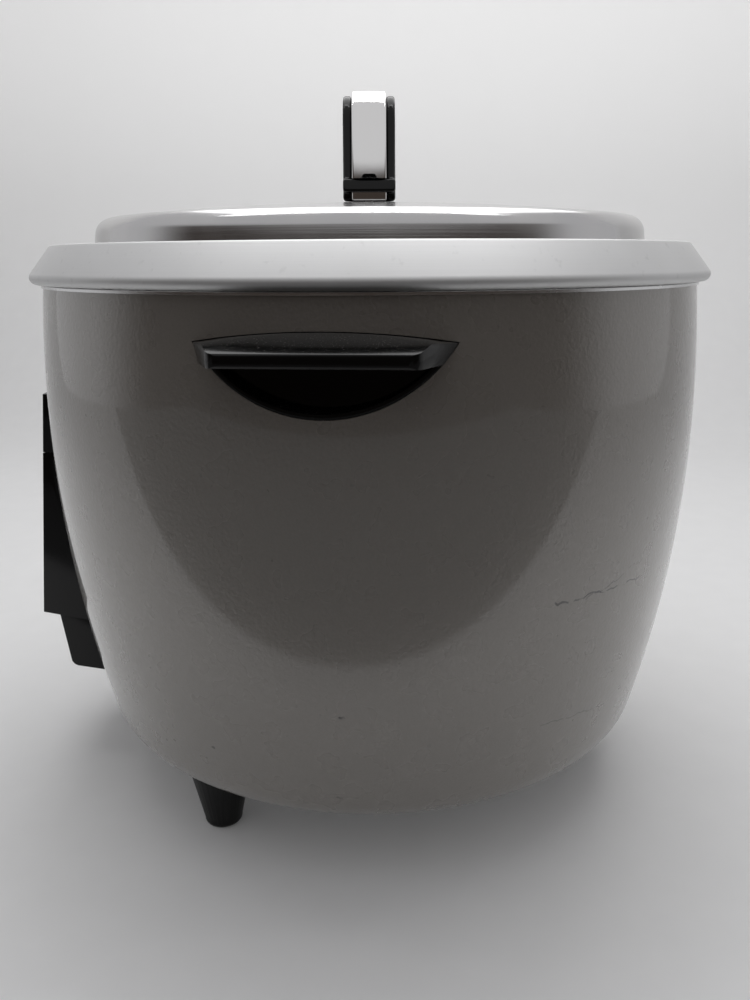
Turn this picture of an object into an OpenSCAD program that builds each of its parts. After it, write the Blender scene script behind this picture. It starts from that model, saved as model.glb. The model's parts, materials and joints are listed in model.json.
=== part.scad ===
// Drop-in rice cooker: painted steel body on three feet, lift-out aluminium pan,
// stainless lid with an arch handle, and a magnetic thermostat worked by a cook key.
// Front is -Y, the side handles are at +X and -X, and the table is at z = 0.

/* [Body] */
// Radius of the body at its widest
belly_r = 187.8; // [180:0.2:196]
// Height of the widest point above the base
belly_up = 184; // [170:1:195]
// Radius of the curve that the body's side follows
belly_arc_r = 692; // [600:1:900]
// How much taller the body is than the pan
body_over = 54; // [50:1:60]
// Radius that turns the side into the base
base_corner_r = 24; // [16:1:30]
// Width of the body's base between its hole and the ring of feet
base_hole_in = 16; // [12:1:40]
// Thickness of the body's sheet
shell_t = 1.2; // [0.8:0.1:2]
// Width of the flange at the body's top edge
top_flange_w = 14; // [10:1:18]

/* [Feet and base plate] */
// Height of a foot
foot_h = 38; // [28:1:50]
// Radius of a foot where it meets the body
foot_top_r = 18; // [14:0.5:19]
// Radius of a foot near the table
foot_bottom_r = 10.6; // [9:0.1:13]
// Rounding of a foot's lower edge
foot_round = 3; // [1:0.5:4]
// How far each foot stands in from the body's widest point
foot_inset = 53.8; // [52:0.2:60]
// Angle of the two front feet from the front
foot_angle = 56; // [45:1:65]
// Depth of the screw's recess in a foot
foot_recess = 24; // [12:1:26]
// How far the base plate reaches out past the ring of feet
base_plate_over = 8; // [6:1:12]
// Thickness of the base plate
base_plate_t = 1.5; // [1:0.1:3]
// Number of vent slots in the base plate
vent_count = 12; // [6:1:18]
// Length of a vent slot
vent_l = 30; // [15:1:40]
// Width of a vent slot
vent_w = 5; // [3:0.5:8]

/* [Pan] */
// How far the pan's inside wall stands in from the body's widest point
pan_inset = 39.8; // [38:0.2:44]
// Thickness of the pan's sheet
pan_t = 2; // [1.5:0.1:2.5]
// Height of the pan from its bottom to the top of its brim
pan_h = 205; // [198:1:208]
// Radius between the pan's side and bottom
pan_corner_r = 26; // [15:1:40]
// How far the brim stands out from the body's top edge
brim_out = 6.3; // [5:0.1:9]
// Width of the brim's slope, from its top edge to its outer edge
brim_slope_w = 10.6; // [8:0.2:13]
// Height of the brim, from its bead to its top
brim_h = 19.5; // [16:0.5:24]
// Radius of the rolled bead at the brim's outer edge
bead_r = 3.4; // [2.5:0.1:4]
// Depth of the step in the brim that holds the lid
lid_step = 13; // [8:0.5:15]
// Gap between the brim and the ring below it
brim_gap = 1.5; // [0.5:0.1:3]

/* [Lid] */
// How much larger the lid's radius is than the pan's
lid_over = 9.3; // [7:0.1:10]
// Thickness of the lid's sheet
lid_t = 1; // [0.8:0.1:1.5]
// Height of the lid from its rim to its shoulder
lid_side_h = 27; // [22:0.5:34]
// Radius of the lid's shoulder
lid_shoulder_r = 9; // [6:0.5:12]
// Rise of the dome above the shoulder
lid_rise = 8; // [5:0.5:14]
// Width of the lid's rolled rim
lid_rim_w = 3; // [2:0.5:4]

/* [Lid handle] */
// Turn of the arch from the line of the side handles, as the lid happens to sit
arch_turn = 6; // [0:1:30]
// Half of the arch's length at its corners
arch_half = 37; // [30:1:50]
// Height of the arch above the lid
arch_h = 52.6; // [46:0.2:60]
// Radius of the arch's corners, at its inner face
arch_corner_r = 8; // [5:1:14]
// Lean of the arch's legs from upright
arch_lean = 12; // [0:1:20]
// Thickness of the black frame
arch_t = 8; // [6:0.5:10]
// Width of the black frame
arch_w = 27; // [22:0.5:32]
// Width of the bright strip
strip_w = 17.8; // [14:0.1:20]
// How far the strip stands above the frame
strip_up = 2.6; // [1:0.1:4]
// How deep the strip sits in the frame
strip_in = 1.6; // [1:0.1:2.5]
// Height of the crossbar's lower edge above the lid
bar_up = 3.4; // [2:0.2:8]
// Height of the crossbar
bar_h = 6.6; // [4:0.2:10]

/* [Side handles] */
// Width of a side handle on the body
grip_w = 109; // [96:1:120]
// Height of a side handle, from its lowest to its highest point
grip_h = 34.6; // [30:0.2:42]
// Depth of the handle's lowest point below the body's top edge
grip_down = 49; // [46:1:54]
// Rise of the arc along the handle's top
grip_crown = 4.6; // [3:0.2:7]
// How far the lip's edge stands out from the body's widest point
lip_out = 19.2; // [12:0.2:28]
// Width of the lip at its edge
lip_w = 85; // [70:1:92]
// Thickness of the lip at its edge
lip_t = 6; // [4:0.2:8]
// Depth of the pocket behind the body's widest point
pocket_depth = 22.5; // [18:0.5:23.5]
// Thickness of the handle's walls
grip_wall = 2; // [1.5:0.1:3]

/* [Front panel] */
// Width of the switch panel
panel_w = 114; // [100:1:124]
// Height of the panel's lower edge above the base
panel_up = 63.5; // [58:0.5:68]
// Height of the panel
panel_h = 135; // [125:0.5:142]
// How far the panel's lower edge stands out from the body, at its middle
panel_out = 28; // [26:0.5:31]
// How far the panel's upper edge stands out from the body, at its middle
panel_top_out = 2.5; // [1.5:0.1:4]
// Radius of the panel's curved front
panel_front_r = 273; // [220:1:400]
// Slope of the panel's lower edge, down towards the body
panel_drop = 0.15; // [0.05:0.01:0.2]
// Wall of the panel's housing
panel_wall = 2.2; // [1.6:0.1:3]
// Height of the cap above the panel's seam
cap_h = 34.5; // [28:0.5:40]
// Width of the seam between the panel and its cap
seam = 0.5; // [0.3:0.1:1]
// Radius of an indicator lens
lens_r = 4; // [3:0.5:6]
// Distance between the two lenses
lens_pitch = 36; // [26:1:50]

/* [Cook key] */
// Width of the key's guard
guard_w = 76; // [64:1:90]
// Height of the guard
guard_h = 46.5; // [40:0.5:50]
// How far the guard's top edge stands out from the body
guard_out = 23; // [20:0.2:25]
// Slope of the guard's front, inwards over its height
guard_slope = 6.2; // [0:0.2:10]
// Wall of the guard
guard_wall = 2.5; // [2:0.1:4]
// Width of the key
key_w = 44; // [30:1:50]
// Height of the key's face
key_h = 26; // [20:1:28]
// Travel of the key
key_travel = 9; // [6:0.5:10]

/* [Cooking works] */
// Thickness of the heater plate
plate_t = 14; // [10:0.5:18]
// How far the heater plate's edge stands in from the pan's wall
plate_inset = 20; // [14:1:28]
// How far the heating tube's ring lies in from the plate's edge
element_inset = 44; // [33:1:56]
// Radius of the heating tube
element_r = 4; // [3:0.5:5]
// Gap between the liner's floor and the heater plate
liner_gap = 12; // [10:0.5:16]
// Thickness of the liner's sheet
liner_t = 0.8; // [0.6:0.1:1.2]
// Space between the pan and the liner
liner_space = 5.5; // [4:0.5:7]
// Radius of the thermostat's cap
stat_r = 22; // [18:0.5:25]
// Travel of the thermostat's cap
stat_travel = 2; // [1:0.1:2.5]
// Radius of the magnet
magnet_r = 12.5; // [10:0.5:14]
// Thickness of the magnet
magnet_t = 5; // [4:0.5:6]
// How far the lever's pivot stands in from the ring of feet
pivot_inset = 49; // [39:1:59]
// Height of the lever's pivot above the base
pivot_up = 33; // [31:0.5:34]
// Radius of the pivot pin
pin_r = 1.5; // [1:0.1:2]
// Width of the lever
lever_w = 14; // [13:0.5:18]
// Thickness of the lever
lever_t = 2; // [1.5:0.1:3]

/* [Power inlet] */
// Width of the inlet
inlet_w = 34; // [30:1:40]
// Height of the inlet
inlet_h = 24; // [20:1:26]
// Depth of the inlet's socket
socket_depth = 18; // [14:1:20]

/* [Fits] */
// Clearance between pieces that don't move
fit = 0.3; // [0.2:0.05:0.5]
// Radial clearance between a pin and its bore
run_fit = 0.08; // [0.05:0.01:0.1]
// Radius of the small screws
screw_r = 2; // [1.5:0.1:2.5]

/* [Hidden] */
$fn = 96;
body_h = pan_h + body_over;
base_z = foot_h;
top_z = base_z + body_h;
belly_z = base_z + belly_up;
foot_ring_r = belly_r - foot_inset;
base_hole_r = foot_ring_r - base_hole_in;
base_plate_r = foot_ring_r + base_plate_over;
pivot_y = foot_ring_r - pivot_inset;
pan_r = belly_r - pan_inset;
lid_r = pan_r + lid_over;
plate_r = pan_r - plate_inset;
element_ring_r = plate_r - element_inset;
lip_reach = belly_r + lip_out;
arc_x = belly_r - belly_arc_r;
brim_r = body_r(top_z) + brim_out;
brim_top_r = brim_r - brim_slope_w;
corner_z = base_z + base_corner_r;
corner_x = arc_x + sqrt(pow(belly_arc_r - base_corner_r, 2) - pow(belly_z - corner_z, 2));
corner_a = atan2(corner_z - belly_z, corner_x - arc_x);
floor_z = base_z + shell_t + base_plate_t;
brim_low_z = top_z + brim_gap;
brim_z = brim_low_z + brim_h;
ledge_z = brim_z - lid_step;
pan_z = brim_z - pan_h;
plate_z = pan_z - plate_t;
liner_z = plate_z - liner_gap;
liner_r = pan_r + pan_t + liner_space;
rim_in_r = body_r(top_z) - top_flange_w;
shoulder_z = ledge_z + lid_side_h;
crown_z = shoulder_z + lid_rise;
arch_z = crown_z + arch_h;
grip_z = top_z - grip_down;
grip_side_z = grip_z + grip_h - grip_crown;
lip_z = grip_side_z - 1.4;
grip_low_r = (pow(grip_w / 2, 2) + pow(grip_side_z - grip_z, 2)) / (2 * (grip_side_z - grip_z));
grip_top_r = (pow(grip_w / 2, 2) + pow(grip_crown, 2)) / (2 * grip_crown);
pocket_x = belly_r - pocket_depth;
bracket_t = 1.5;
panel_z = base_z + panel_up;
panel_top_z = panel_z + panel_h;
seam_z = panel_top_z - cap_h;
panel_reach = body_r(panel_z) + panel_out;
panel_top_reach = body_r(panel_top_z) + panel_top_out;
panel_lean = atan2(panel_reach - panel_top_reach, panel_h);
guard_z = panel_z - fit - guard_h;
guard_reach = body_r(panel_z) + guard_out;
pivot_z = base_z + pivot_up;
lever_z = pivot_z - 5;
key_reach = guard_reach + 4;
key_angle = asin(key_travel / (key_reach - pivot_y));
magnet_lift = pivot_y * key_angle * PI / 180;
ferrite_t = 7;
cap_z = pan_z - fit;
ferrite_z = cap_z - 1.5 - ferrite_t;
magnet_z = ferrite_z - magnet_lift - stat_travel - 0.5 - magnet_t;
stat_floor_z = liner_z - 10;
rod_r = 4;
head_h = 2.6;
foot_fit = 0.05;
inlet_z = floor_z + 11;
lamp_z = seam_z + cap_h * 0.42;
switch_y = pivot_y + 35;
ring_t = 0.7;
foot_places = [-foot_angle, foot_angle, 180];

// Points on an arc, from angle a0 to a1; the first point is left out when start is 1
function arc(x, z, r, a0, a1, n, start = 0) =
    [for (i = [start:n]) let (a = a0 + (a1 - a0) * i / n) [x + r * cos(a), z + r * sin(a)]];
function flip(p) = [for (i = [len(p) - 1:-1:0]) p[i]];
function mirrored(p) = [for (i = [len(p) - 1:-1:0]) [-p[i].x, p[i].y]];

// A sheet of even thickness t to the left of the line p
function left_of(a, b) = let (d = (b - a) / norm(b - a)) [-d.y, d.x];
function beside(p, i, t) =
    i == 0 ? p[0] + t * left_of(p[0], p[1]) :
    i == len(p) - 1 ? p[i] + t * left_of(p[i - 1], p[i]) :
    let (n = left_of(p[i], p[i + 1]), m = left_of(p[i - 1], p[i]) + n) p[i] + m * t / (m * n);
function sheet(p, t) = concat(p, flip([for (i = [0:len(p) - 1]) beside(p, i, t)]));

// Radius of the body's side at height z, and its outline from height z to the base, d inside the skin
function body_r(z) = arc_x + sqrt(pow(belly_arc_r, 2) - pow(z - belly_z, 2));
function skin(d, z) = concat(
    arc(arc_x, belly_z, belly_arc_r - d, asin((z - belly_z) / (belly_arc_r - d)), corner_a, 24),
    arc(corner_x, corner_z, base_corner_r - d, corner_a, -90, 10, 1));
// Distance of the body's skin from the axis plane at a place x across and z up, d inside the skin
function skin_y(x, z, d = 0) = sqrt(pow(body_r(z) - d, 2) - x * x);
// Height of the lid's top at radius r
dome_x = lid_r - lid_shoulder_r - 2.5;
dome_r = (dome_x * dome_x + lid_rise * lid_rise) / (2 * lid_rise);
function dome_z(r) = crown_z - dome_r + sqrt(dome_r * dome_r - r * r);

// The arch's outline at a distance d outside its inner face
arch_cz = arch_z - arch_t - arch_corner_r;
arch_foot_z = dome_z(arch_half + arch_corner_r + (arch_cz - crown_z) * tan(arch_lean)) + 0.2;
function arch_foot_x(d) =
    arch_half + (arch_corner_r + d) / cos(arch_lean) + (arch_cz - arch_foot_z) * tan(arch_lean);
function arch_side(d) = concat([[arch_foot_x(d), arch_foot_z]],
    arc(arch_half, arch_cz, arch_corner_r + d, arch_lean, 90, 10));
function arch_line(d) = concat(arch_side(d), mirrored(arch_side(d)));

module turned(points, facets = 96) {
    rotate_extrude($fn = facets) polygon([for (p = points) [max(0, p.x), p.y]]);
}

module body_solid(d) {
    mouth = [[0, top_z + 20], [body_r(top_z) - d, top_z + 20]];
    turned(concat(mouth, skin(d, top_z), [[0, base_z + d]]), 360);
}

// Shapes drawn in a plane and pushed across the body, along X
module across(points, w) {
    translate([-w / 2, 0, 0]) rotate([90, 0, 90]) linear_extrude(w) polygon(points);
}

module on_side(side) {
    rotate([0, 0, side > 0 ? 0 : 180]) children();
}

module bolt(length, head_r = 4) {
    translate([0, 0, -head_h]) cylinder(r = head_r, h = head_h);
    cylinder(r = screw_r, h = length);
}

module at_feet() {
    for (a = foot_places) rotate([0, 0, a]) translate([0, -foot_ring_r, 0]) children();
}

// Body ---------------------------------------------------------------

module outer_shell() {
    path = concat([[rim_in_r, top_z]], skin(0, top_z), [[base_hole_r, base_z]]);
    color("darkgray") difference() {
        turned(sheet(path, -shell_t));
        for (side = [1, -1]) on_side(side) grip_lens(pocket_x - 5, lip_reach, fit);
        at_feet() translate([0, 0, base_z - 1]) cylinder(r = screw_r + fit, h = 6);
        for (x = [-lens_pitch / 2, lens_pitch / 2]) lens_bore(x, lens_r + fit);
        at_panel_screws() translate([0, 0, -3]) cylinder(r = screw_r + fit, h = 9);
        translate([-lever_w / 2 - 2, -belly_r, lever_z - lever_t / 2 - key_travel])
            cube([lever_w + 4, 40, key_travel + lever_t + 2]);
        inlet_box(fit);
        at_inlet_screws() translate([0, 0, -3]) cylinder(r = 3 + fit, h = 6);
    }
}

module top_ring() {
    out_r = body_r(top_z) + 0.15;
    z = top_z + liner_t;
    color("silver") turned([
        [liner_r, z], [out_r, z], [out_r, top_z - 0.3],
        [out_r + ring_t, top_z - 0.3], [out_r + ring_t, z + ring_t], [liner_r, z + ring_t]
    ]);
}

module inner_liner() {
    path = [
        [stat_cup_r + 2, liner_z], [liner_r, liner_z],
        [liner_r, top_z + liner_t], [body_r(top_z) - 3, top_z + liner_t]
    ];
    color("gainsboro") difference() {
        turned(sheet(path, -liner_t));
        at_posts() translate([0, 0, liner_z - 3]) cylinder(r = screw_r + fit, h = 6);
        at_terminals() translate([0, 0, liner_z - 3]) cylinder(r = element_r, h = 6);
        at_lever_rivets() translate([0, 0, liner_z - 3]) cylinder(r = 1.5 + fit, h = 6);
    }
}

module base_plate() {
    color("gray") difference() {
        translate([0, 0, base_z + shell_t]) cylinder(r = base_plate_r, h = base_plate_t);
        at_feet() translate([0, 0, base_z]) cylinder(r = screw_r + fit, h = 6);
        for (i = [0:vent_count - 1]) rotate([0, 0, 360 * (i + 0.5) / vent_count])
            translate([60, -vent_w / 2, base_z]) cube([vent_l, vent_w, 6]);
        at_inlet_screws() translate([0, 0, -2]) cylinder(r = 1.5 + fit, h = 6);
    }
}

module foot(place) {
    seat_z = foot_h + 4;
    color([0.06, 0.06, 0.06]) difference() {
        rotate([0, 0, foot_places[place]]) translate([0, -foot_ring_r, 0])
            turned(concat(
                [[screw_r + fit, seat_z], [screw_r + fit, foot_recess], [5, foot_recess], [5, 0]],
                [[foot_bottom_r - foot_round, 0]],
                arc(foot_bottom_r - foot_round, foot_round, foot_round, -90, 8, 6, 1),
                [[foot_top_r, foot_h], [foot_top_r, seat_z]]));
        body_solid(-foot_fit);
    }
}

module foot_screws() {
    color("silver") at_feet() translate([0, 0, foot_recess]) bolt(foot_h - foot_recess + 8);
}

module foot_nuts() {
    color("silver") at_feet() translate([0, 0, floor_z]) difference() {
        cylinder(r = 4.2, h = 3.2, $fn = 6);
        translate([0, 0, -1]) cylinder(r = screw_r + 0.05, h = 6);
    }
}

// Pan and lid --------------------------------------------------------

seat_r = lid_r + 1.2;

module inner_pan() {
    in_z = pan_z + pan_t;
    bead_x = brim_r - bead_r;
    bead_z = brim_low_z + bead_r;
    crest_r = 2;
    crest = [brim_top_r - crest_r, brim_z - crest_r];
    run = [bead_x, bead_z] - crest;
    slope_a = atan2(run.y, run.x) + acos((crest_r - bead_r) / norm(run));
    path = concat(
        [[0, in_z]],
        arc(pan_r - pan_corner_r, in_z + pan_corner_r, pan_corner_r, -90, 0, 8),
        arc(pan_r + 2, ledge_z - 2, 2, 180, 90, 3),
        [[seat_r - 1, ledge_z], [seat_r, ledge_z + 1], [seat_r + 1.6, brim_z - 3]],
        arc(seat_r + 4.6, brim_z - 3, 3, 180, 90, 4, 1),
        arc(crest.x, crest.y, crest_r, 90, slope_a, 4),
        [[bead_x + bead_r * cos(slope_a), bead_z + bead_r * sin(slope_a)]]);
    color([0.78, 0.78, 0.79]) {
        turned(sheet(path, -pan_t));
        rotate_extrude() translate([bead_x, bead_z]) circle(r = bead_r);
    }
}

module lid() {
    side_x = dome_x + lid_shoulder_r;
    rim = lid_rim_w / 2;
    path = concat(
        [[0, crown_z], [4, crown_z]],
        arc(0, crown_z - dome_r, dome_r, 90, 90 - asin(dome_x / dome_r), 16, 1),
        arc(dome_x, shoulder_z - lid_shoulder_r, lid_shoulder_r, 84, 10, 7, 1),
        [[lid_r - 0.9, ledge_z + 5], [lid_r - rim - 0.3, ledge_z + fit + rim]]);
    color([0.75, 0.76, 0.78]) difference() {
        union() {
            turned(sheet(path, -lid_t));
            turned([
                for (a = [22.5:45:359])
                    [lid_r - rim + rim * cos(a), ledge_z + fit + rim + rim * sin(a)]
            ]);
        }
        at_lid_screws() translate([0, 0, -8]) cylinder(r = screw_r + fit, h = 12);
    }
}

module at_lid_screws() {
    x = arch_foot_x(arch_t / 2);
    rotate([0, 0, arch_turn]) for (side = [1, -1]) translate([side * x, 0, dome_z(x)]) children();
}

module arch_band(d0, d1, w) {
    rotate([0, 0, arch_turn]) translate([0, w / 2, 0]) rotate([90, 0, 0]) linear_extrude(w)
        polygon(concat(arch_line(d1), flip(arch_line(d0))));
}

module between_heights(z0, z1) {
    intersection() {
        children();
        translate([-brim_r, -panel_reach, z0]) cube([2 * brim_r, 2 * panel_reach, z1 - z0]);
    }
}

module lid_handle() {
    bar_z = crown_z + bar_up;
    color([0.05, 0.05, 0.05]) difference() {
        union() {
            arch_band(0, arch_t, arch_w);
            between_heights(bar_z, bar_z + bar_h) arch_band(arch_t / 2, arch_t + strip_up + 1.4, arch_w);
            between_heights(bar_z, bar_z + bar_h + 2.2)
                arch_band(arch_t, arch_t + strip_up + 1.2, strip_w * 0.4);
        }
        arch_band(arch_t - strip_in, arch_t + strip_up + 0.2, strip_w + 0.4);
        at_lid_screws() translate([0, 0, -1]) cylinder(r = screw_r + 0.05, h = 16);
    }
}

module lid_handle_strip() {
    color([0.9, 0.9, 0.9]) difference() {
        arch_band(arch_t - strip_in + 0.05, arch_t + strip_up, strip_w);
        at_lid_screws() translate([0, 0, -1]) cylinder(r = screw_r + 0.5, h = 16);
    }
}

module lid_screws() {
    color("silver") at_lid_screws() translate([0, 0, -lid_t - 1.4]) bolt(14);
}

module lid_washers() {
    color("silver") at_lid_screws() translate([0, 0, -lid_t - 1.4]) difference() {
        cylinder(r = 6, h = 1);
        translate([0, 0, -1]) cylinder(r = screw_r + 0.2, h = 3);
    }
}

// Side handles -------------------------------------------------------

// The half-moon outline of a handle, pushed along X from x0 to x1
module grip_lens(x0, x1, grow) {
    intersection() {
        translate([x0, 0, grip_z + grip_low_r]) rotate([0, 90, 0])
            cylinder(r = grip_low_r + grow, h = x1 - x0);
        translate([x0, 0, grip_z + grip_h - grip_top_r]) rotate([0, 90, 0])
            cylinder(r = grip_top_r + grow, h = x1 - x0, $fn = 240);
    }
}

module lip() {
    round_r = 6;
    plan = concat(
        [[pocket_x, grip_w / 2], [pocket_x, -grip_w / 2], [skin_y(grip_w / 2, grip_side_z), -grip_w / 2]],
        arc(lip_reach - round_r, -lip_w / 2 + round_r, round_r, -65, 0, 4),
        arc(lip_reach - round_r, lip_w / 2 - round_r, round_r, 0, 65, 4),
        [[skin_y(grip_w / 2, grip_side_z), grip_w / 2]]);
    side = [
        [pocket_x, lip_z - lip_t], [lip_reach - 1, lip_z - lip_t], [lip_reach, lip_z - lip_t + 1],
        [lip_reach, lip_z - 1.2], [lip_reach - 0.4, lip_z - 0.3], [lip_reach - 1.2, lip_z],
        [belly_r, grip_z + grip_h + 0.5], [pocket_x, grip_z + grip_h + 0.5]
    ];
    intersection() {
        translate([0, 0, lip_z - lip_t - 1]) linear_extrude(lip_t + 14) polygon(plan);
        translate([0, grip_w / 2, 0]) rotate([90, 0, 0]) linear_extrude(grip_w) polygon(side);
        grip_lens(pocket_x, lip_reach + 1, 0);
    }
}

module side_handle(side) {
    color([0.05, 0.05, 0.05]) on_side(side) difference() {
        union() {
            intersection() {
                grip_lens(pocket_x, lip_reach, 0);
                body_solid(-0.6);
            }
            lip();
        }
        intersection() {
            grip_lens(pocket_x + grip_wall, lip_reach + 1, -grip_wall);
            translate([pocket_x, -grip_w / 2, grip_z]) cube([60, grip_w, lip_z - lip_t - grip_z]);
        }
        at_grip_screws() cylinder(r = screw_r + 0.05, h = 13);
    }
}

module at_grip_screws() {
    for (y = [-grip_w * 0.28, grip_w * 0.28])
        translate([pocket_x, y, lip_z - 1]) rotate([0, 90, 0]) children();
}

module handle_bracket(side) {
    flange_z = top_z - shell_t;
    points = [
        [pocket_x - bracket_t, lip_z - 9], [pocket_x, lip_z - 9], [pocket_x, flange_z - bracket_t],
        [pocket_x + 12, flange_z - bracket_t], [pocket_x + 12, flange_z], [pocket_x - bracket_t, flange_z]
    ];
    color("gray") on_side(side) difference() {
        translate([0, grip_w * 0.36, 0]) rotate([90, 0, 0]) linear_extrude(grip_w * 0.72) polygon(points);
        at_grip_screws() translate([0, 0, -5]) cylinder(r = screw_r + fit, h = 8);
    }
}

module handle_screws() {
    color("silver") for (side = [1, -1])
        on_side(side) at_grip_screws() translate([0, 0, -bracket_t]) bolt(12);
}

// Front panel and lamps ----------------------------------------------

lamp_r = 2.2;

// Height of the panel's sloping lower edge at a place y
function panel_low(y) = panel_z - panel_drop * (panel_reach + y);

// The panel's form up to height z1, made smaller by d on every side but the back
module panel_form(z1, d) {
    front = -panel_reach - 10;
    back = -panel_reach + 60;
    intersection() {
        across([
            [front, panel_low(front) + d], [back, panel_low(back) + d], [back, z1 - d], [front, z1 - d]
        ], panel_w - 2 * d);
        translate([0, -panel_reach, panel_z]) rotate([-panel_lean, 0, 0])
            translate([0, panel_front_r, -60])
                cylinder(r = panel_front_r - d, h = panel_h + 120, $fn = 240);
    }
}

function panel_y(z) = -panel_reach + (z - panel_z) * tan(panel_lean);

// Four screws from inside the body into the panel, at the heights of two rows
module at_panel_screws() {
    for (z = [panel_z + 26, seam_z - 14], x = [-panel_w * 0.33, panel_w * 0.33])
        translate([x, -skin_y(abs(x) + 4, z, shell_t) + 0.2, z]) rotate([90, 0, 0]) children();
}

module panel_housing() {
    color([0.05, 0.05, 0.05]) difference() {
        union() {
            difference() {
                panel_form(seam_z - seam / 2, 0);
                panel_form(seam_z - seam / 2, panel_wall);
            }
            intersection() {
                at_panel_screws() cylinder(r = 5, h = 60);
                panel_form(seam_z - seam / 2, panel_wall / 2);
            }
        }
        body_solid(-fit);
        at_panel_screws() cylinder(r = screw_r + 0.05, h = 9.5);
    }
}

module panel_cap() {
    low = seam_z + seam / 2;
    color([0.05, 0.05, 0.05]) difference() {
        between_heights(low, panel_top_z) panel_form(panel_top_z, 0);
        body_solid(-fit);
        for (x = [-lens_pitch / 2, lens_pitch / 2]) lens_bore(x, lens_r + 0.1);
    }
}

module panel_screws() {
    color("silver") at_panel_screws() bolt(9);
}

module lens_bore(x, r) {
    back_y = -skin_y(abs(x), lamp_z) + 6 + fit;
    translate([x, back_y, lamp_z]) rotate([90, 0, 0]) cylinder(r = r, h = 30);
}

module lens(side, tint) {
    x = side * lens_pitch / 2;
    back_y = -skin_y(abs(x), lamp_z) + 6;
    front_y = panel_y(lamp_z) + 1.2;
    color(tint) translate([x, back_y, lamp_z]) rotate([90, 0, 0]) {
        cylinder(r = lens_r, h = back_y - front_y);
        translate([0, 0, back_y - front_y]) cylinder(r1 = lens_r, r2 = lens_r - 1.2, h = 1.2);
    }
}

module lamp_holder() {
    back_y = -belly_r + 17;
    color("ivory") difference() {
        intersection() {
            translate([-lens_pitch / 2 - 10, -belly_r, lamp_z - 8]) cube([lens_pitch + 20, 17, 16]);
            body_solid(shell_t + fit);
        }
        for (x = [-lens_pitch / 2, lens_pitch / 2]) {
            lens_bore(x, lens_r + fit);
            translate([x, back_y + 1, lamp_z]) rotate([90, 0, 0]) cylinder(r = lamp_r + 0.2, h = 20);
        }
    }
}

module neon_lamps() {
    back_y = -belly_r + 18;
    color("orange") for (x = [-lens_pitch / 2, lens_pitch / 2])
        translate([x, back_y, lamp_z]) rotate([90, 0, 0]) cylinder(r = lamp_r, h = 10);
}

// Cook key and lever -------------------------------------------------

// Height of the guard's top, just under the panel, at a place y
function guard_top(y) = panel_low(y) - fit;

module key_guard() {
    front = -guard_reach;
    low_front = front + guard_slope;
    back = front + 45;
    slot_w = key_w + 3;
    outline = [
        [front, guard_top(front)], [low_front - 0.3, guard_z + 3], [low_front + 1.4, guard_z + 0.9],
        [low_front + 3.4, guard_z], [back, guard_z - 4], [back, guard_top(back)]
    ];
    key_way = [
        [front - 5, guard_z - 10], [back + 5, guard_z - 10],
        [back + 5, guard_top(back + 5) - guard_wall], [front - 5, guard_top(front - 5) - guard_wall]
    ];
    pocket = [
        [low_front + guard_wall, guard_z + guard_wall], [back + 5, guard_z + guard_wall],
        [back + 5, guard_top(back + 5) - guard_wall],
        [low_front + guard_wall, guard_top(low_front) - 2 * guard_wall]
    ];
    color([0.05, 0.05, 0.05]) difference() {
        across(outline, guard_w);
        across(key_way, slot_w);
        for (side = [1, -1]) translate([side * (slot_w + guard_w) / 4, 0, 0])
            across(pocket, (guard_w - slot_w) / 2 - 2 * guard_wall);
        body_solid(-fit);
    }
}

key_low_z = lever_z - 4;

module cook_key() {
    back = key_reach - key_h * 0.85;
    side = [
        [-back, key_low_z], [-key_reach + 3, key_low_z], [-key_reach + 0.8, key_low_z + 2],
        [-key_reach, key_low_z + 5], [-key_reach + 1, key_low_z + key_h - 3],
        [-key_reach + 3, key_low_z + key_h], [-back, key_low_z + key_h]
    ];
    color([0.06, 0.06, 0.06]) difference() {
        across(side, key_w);
        translate([-lever_w / 2 - 0.2, -key_reach + 6, lever_z - lever_t / 2 - 0.1])
            cube([lever_w + 0.4, 30, lever_t + 0.2]);
        translate([-key_w / 2 + 3, -key_reach + 5, lever_z + 5]) cube([key_w - 6, 30, key_h - 12]);
        translate([0, -key_reach + 12, key_low_z - 1]) cylinder(r = 1.55, h = 12);
    }
}

module key_screw() {
    color("silver") translate([0, -key_reach + 12, key_low_z]) {
        translate([0, 0, -1.6]) cylinder(r = 3, h = 1.6);
        cylinder(r = 1.5, h = 7.5);
    }
}

module lever_arm() {
    ear = 4.5;
    color("lightgray") difference() {
        union() {
            translate([-lever_w / 2, -key_reach + 6.4, lever_z - lever_t / 2])
                cube([lever_w, key_reach + 1, lever_t]);
            for (side = [1, -1]) translate([side * (lever_w - lever_t) / 2, 0, 0])
                across([
                    [-pivot_y - ear, lever_z], [-pivot_y + ear, lever_z],
                    [-pivot_y + ear, pivot_z + ear - 1], [-pivot_y - ear, pivot_z + ear - 1]
                ], lever_t);
        }
        translate([-20, -pivot_y, pivot_z]) rotate([0, 90, 0]) cylinder(r = pin_r + run_fit, h = 40);
        translate([-rod_r - 0.5, -rod_r - 1, lever_z - 5]) cube([2 * rod_r + 1, 20, 10]);
        translate([0, -key_reach + 12, lever_z - 5]) cylinder(r = 1.55, h = 10);
    }
}

cheek_x = lever_w / 2 + 0.5;

module at_lever_rivets() {
    for (x = [-cheek_x - 7, cheek_x + 7]) translate([x, -pivot_y, 0]) children();
}

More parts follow.
